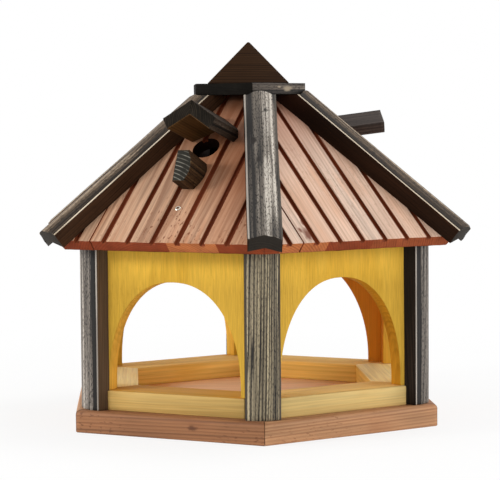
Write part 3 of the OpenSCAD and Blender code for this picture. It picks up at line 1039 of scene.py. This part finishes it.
def roof_panels():
    edge = EAVE_OUT * TAN30
    top = -(ROOF_TOP - EAVE_Z) / sin(ROOF_PITCH) - 2 * BOARD_THICK
    for i in FACES:
        entrance = i in ENTRANCE_FACES
        places = [groove_at(n) + groove_shift(i) for n in range(-GROOVE_COUNT, GROOVE_COUNT + 1)]
        seam = (places[0] + places[1]) / 2
        boards = ((-edge, seam - SEAM_GAP / 2, places[:1]), (seam + SEAM_GAP / 2, edge, places[1:]))
        place = face_frame(i) @ SLOPE
        # Faces without an entrance get the roof wood with painted sheen
        wood = FRONT_ROOF if i == FRONT_FACE else ROOF if entrance else ROOF_PAINTED_SHEEN
        piece = Piece(f"roof_panel_{i}_wood", [wood, GROOVE, EAVE, HOLE, STEEL, ROOF_UNDER])
        for part, board in enumerate(boards):
            bm = prism(roof_profile(*board), top, 0, ring_step=8 * MM, end_round=0.7 * MM, cap_tag=EAVE_TAG)
            wear = 10 * i + part
            weather(bm, Matrix.Identity(4), wear, amount=0.35 * MM, along=7, across=25)
            wear_end(bm, Matrix.Identity(4), wear, amount=1.2 * MM)
            bm.transform(place)
            cut_mitres(bm, i, EAVE_TAG)
            cut(bm, Vector((0, 0, ROOF_TOP)), Vector((0, 0, 1)), tag=EAVE_TAG)
            if entrance and part == 1:
                bm = drill(bm, place, hole_across(i))
            piece.add(bm, place, ROOF_SEED + 2 * i + part, roof_pith(i))
        if i == FRONT_FACE:
            piece.add(screw_head(place), place, ROOF_SEED, roof_pith(i))
        piece.finish("roof_wood", f"roof_panel_{i}")


def screw_head(place):
    """A small domed screw head with a socket in painted shade, let into the front roof board."""
    outline = ((3.3, -0.3, STEEL_TAG), (3.3, 0.4, STEEL_TAG), (2.8, 0.8, STEEL_TAG), (1.9, 0.8, HOLE_TAG),
               (1.7, -0.2, HOLE_TAG))
    steps = 24
    bm = bmesh.new()
    rings = []
    for radius, z, _ in outline:
        rings.append([bm.verts.new((radius * cos(a) * MM, radius * sin(a) * MM, z * MM))
                      for a in (math.tau * n / steps for n in range(steps))])
    skin(bm, rings, lambda level, k: outline[level][2], cap_tag=HOLE_TAG)
    bm.transform(place @ Matrix.Translation(SCREW))
    return bm


def drill(bm, place, across):
    """Cuts the entrance hole through a roof board and gives the hole's wall painted shade."""
    near_wall, level = 1.001, 0.1
    cutter = bmesh.new()
    where = place @ Matrix.Translation((-HOLE_UP, across, -BOARD_THICK / 2))
    bmesh.ops.create_cone(cutter, cap_ends=True, segments=64, radius1=HOLE_R, radius2=HOLE_R,
                          depth=3 * BOARD_THICK, matrix=where)
    result = subtract(bm, cutter)
    back = where.inverted()
    for f in result.faces:
        centre = back @ f.calc_center_median()
        on_wall = abs((back.to_3x3() @ f.normal).z) < level
        if math.hypot(centre.x, centre.y) < HOLE_R * near_wall and on_wall:
            f.material_index = HOLE_TAG
    return result


def top_plate():
    apothem = PLATE_RADIUS * cos(radians(30))
    edge = 0.8 * MM
    place = face_frame(PLATE_FACE) @ LYING
    profile = densify(chamfered(-apothem, apothem, plate_low.z, plate_high.z, edge), step=4 * MM)
    bm = prism(profile, -PLATE_RADIUS, PLATE_RADIUS, ring_step=4 * MM)
    bm.transform(place)
    for turn in (60, 120, -60, -120):
        normal = face_frame(PLATE_FACE) @ rotation(radians(turn)) @ Vector((1, 0, 0))
        cut(bm, normal * apothem, normal, tag=CUT_TAG, soften=edge)
    weather(bm, place, PLATE_WEAR, amount=0.4 * MM, along=12, across=60)
    one_piece("top_plate", "dark_wood", [PLATE, PLATE_END], bm, place, PLATE_SEED, HIP_PITH)


def finial():
    """Square pyramid with softened edges and a worn point."""
    half = FINIAL_W / 2
    height = finial_high.z - finial_low.z
    blunt = 1.2 * MM
    levels = 24
    bm = bmesh.new()
    rings = []
    for n in range(levels + 1):
        z = (height - blunt) * n / levels
        w = half * (1 - z / height)
        rings.append([bm.verts.new((x * w, y * w, z)) for x, y in SQUARE])
    skin(bm, rings)
    soften_edges(bm, sharp_edges(bm), width=0.9 * MM)
    place = Matrix.Translation((0, 0, finial_low.z)) @ rotation(FINIAL_TURN)
    bm.transform(place)
    one_piece("finial", "dark_wood", [FINIAL], bm, place, FINIAL_SEED, BOARD_PITH)


def slope_cut(i):
    """The plane of a roof face, as a point and the normal of the side to cut away."""
    slope = face_frame(i) @ SLOPE
    return slope @ Vector((0, 0, SEAT_GAP)), slope.to_3x3() @ Vector((0, 0, -1))


def canopies():
    lap = CANOPY_THICK * tan(CANOPY_SLOPE)
    soft = 0.7 * MM
    for i in ENTRANCE_FACES:
        out, up, width, tilt = CANOPY_OUT, CANOPY_UP, CANOPY_W, CANOPY_TILT
        if i == FRONT_FACE:
            out, up, width, tilt = FRONT_CANOPY_OUT, FRONT_CANOPY_UP, FRONT_CANOPY_W, FRONT_CANOPY_TILT
        if i == REAR_FACE:
            out -= REAR_CANOPY_TRIM
        length = HOLE_OUT + out
        ridge = (face_frame(i) @ Matrix.Translation((length, hole_across(i) + ENTRANCE_SHIFT, HOLE_Z + up))
                 @ rotation(-tilt, "Y"))
        wood = CANOPY if i == FRONT_FACE else GREY_CANOPY
        piece = Piece(f"canopy_{i}_wood", [wood, CANOPY_END, CANOPY_UNDER])
        for side in (1, -1):
            place = ridge @ rotation(-side * CANOPY_SLOPE, "X")
            near, far = sorted((-lap * side, width * side))
            profile = densify(chamfered(near, far, -CANOPY_THICK, 0, soft, below=BELOW_TAG), step=3 * MM)
            bm = prism(profile, -length, 0, ring_step=4 * MM, end_round=soft, cap_tag=CUT_TAG)
            bm.transform(place)
            cut(bm, ridge @ Vector((0, side * MITRE_GAP / 2, 0)), ridge.to_3x3() @ Vector((0, -side, 0)))
            cut(bm, *slope_cut(i))
            hip_side = (face_frame(i) @ rotation(radians(30 * side))).to_3x3()
            normal = hip_side @ Vector((0, side, 0))
            cut(bm, normal * -(HIP_W / 2 + SEAT_GAP), normal)
            weather(bm, place, CANOPY_WEAR + i + side, amount=0.45 * MM, along=10, across=60)
            piece.add(bm, place, CANOPY_SEED + 2 * i + side, HIP_PITH)
        piece.finish("dark_wood", f"canopy_{i}")


def perches():
    length = HOLE_OUT + PERCH_OUT
    profile = batten_profile(HIP_W, PERCH_SIDE, 0)
    piece = Piece("perches_wood", [PERCH, PERCH, PERCH, PERCH_END, PERCH])
    for i in PERCH_FACES:
        across = hole_across(i) + ENTRANCE_SHIFT - PERCH_SIDE / 2
        place = (face_frame(i) @ Matrix.Translation((length, across, HOLE_Z - PERCH_DROP))
                 @ rotation(-PERCH_TILT, "Y") @ rotation(radians(-90), "X"))
        bm = prism(profile, -length, 0, ring_step=4 * MM, end_round=0.8 * MM, cap_tag=END_TAG)
        bm.transform(place)
        cut(bm, *slope_cut(i))
        weather(bm, place, PERCH_WEAR + i, amount=0.4 * MM, along=9, across=40)
        piece.add(bm, place, PERCH_SEED + i, PERCH_PITH)
    piece.finish("dark_wood", "perches")


# Stage, light and camera

WHITE = (1, 1, 1, 1)
FLOOR_PAINT = (0.9, 0.9, 0.9, 1)
WORLD_LIGHT = 0.6


def stage():
    """A white floor that keeps the object's shadow near it and runs out into the white background."""
    reach = 6.0
    shadow_near, shadow_far = 0.35, 1.0
    near_glow = 0.8
    mesh = bpy.data.meshes.new("studio_floor")
    mesh.from_pydata([(x * reach, y * reach, 0) for x, y in SQUARE], [], [(0, 1, 2, 3)])
    obj = new_object("studio_floor", mesh)
    s = Nodes(bpy.data.materials.new("studio_floor_paint"))
    paint = s.add("ShaderNodeBsdfDiffuse", {"Color": FLOOR_PAINT})
    glow = s.add("ShaderNodeEmission", {"Color": WHITE, "Strength": 1.0})
    away = s.band(s.length(s.place()), shadow_near, shadow_far)
    share = s.math("ADD", s.times(away, 1 - near_glow), near_glow)
    seen = s.times(s.background_rays(), share)
    mixed = s.add("ShaderNodeMixShader", {0: seen, 1: paint.outputs[0], 2: glow.outputs[0]})
    s.add("ShaderNodeOutputMaterial", {"Surface": mixed.outputs[0]})
    mesh.materials.append(s.owner)


def world():
    s = Nodes(bpy.data.worlds.new("studio"))
    soft, white = [s.add("ShaderNodeBackground", {"Color": WHITE, "Strength": strength}).outputs[0]
                   for strength in (WORLD_LIGHT, 1.0)]
    mixed = s.add("ShaderNodeMixShader", {0: s.background_rays(), 1: soft, 2: white})
    s.add("ShaderNodeOutputWorld", {"Surface": mixed.outputs[0]})
    bpy.context.scene.world = s.owner


def lamp(name, place, aim, power, size):
    """A square lamp that looks at a height on the middle line."""
    data = bpy.data.lights.new(name, "AREA")
    data.energy = power
    data.size = size
    obj = new_object(name, data)
    obj.location = place
    obj.rotation_euler = (Vector((0, 0, aim)) - Vector(place)).to_track_quat("-Z", "Y").to_euler()


def camera():
    """The photograph's view: the focal length in its pixels, and angles in radians."""
    focal_px = 1933.0
    picture_w = 500
    distance = 2.2737
    height = 0.3427
    tilt = -0.0600
    turn = 0.0594
    roll = -0.0086
    data = bpy.data.cameras.new("camera")
    data.sensor_fit = "HORIZONTAL"
    data.sensor_width = 36.0
    data.lens = data.sensor_width * focal_px / picture_w
    obj = new_object("camera", data)
    upright = rotation(radians(90) + tilt, "X")
    obj.matrix_world = (rotation(-turn) @ Matrix.Translation((0, -distance, height)) @ upright
                        @ rotation(roll))
    bpy.context.scene.camera = obj


base_boards()
floors()
sills()
walls()
posts()
hips()
roof_panels()
top_plate()
finial()
canopies()
perches()
stage()
world()
lamp("right", (2.0, -1.1, 0.7), aim=0.2, power=16, size=1.2)
lamp("left", (-2.0, -0.7, 0.95), aim=0.2, power=20, size=0.5)
lamp("right_side", (2.1, 0.2, 0.4), aim=0.1, power=12, size=0.8)
lamp("left_side", (-2.1, 0.2, 0.4), aim=0.1, power=12, size=0.8)
lamp("over", (0.7, 0.3, 2.1), aim=0.3, power=11, size=0.9)
camera()
bpy.context.scene.view_settings.view_transform = "Standard"
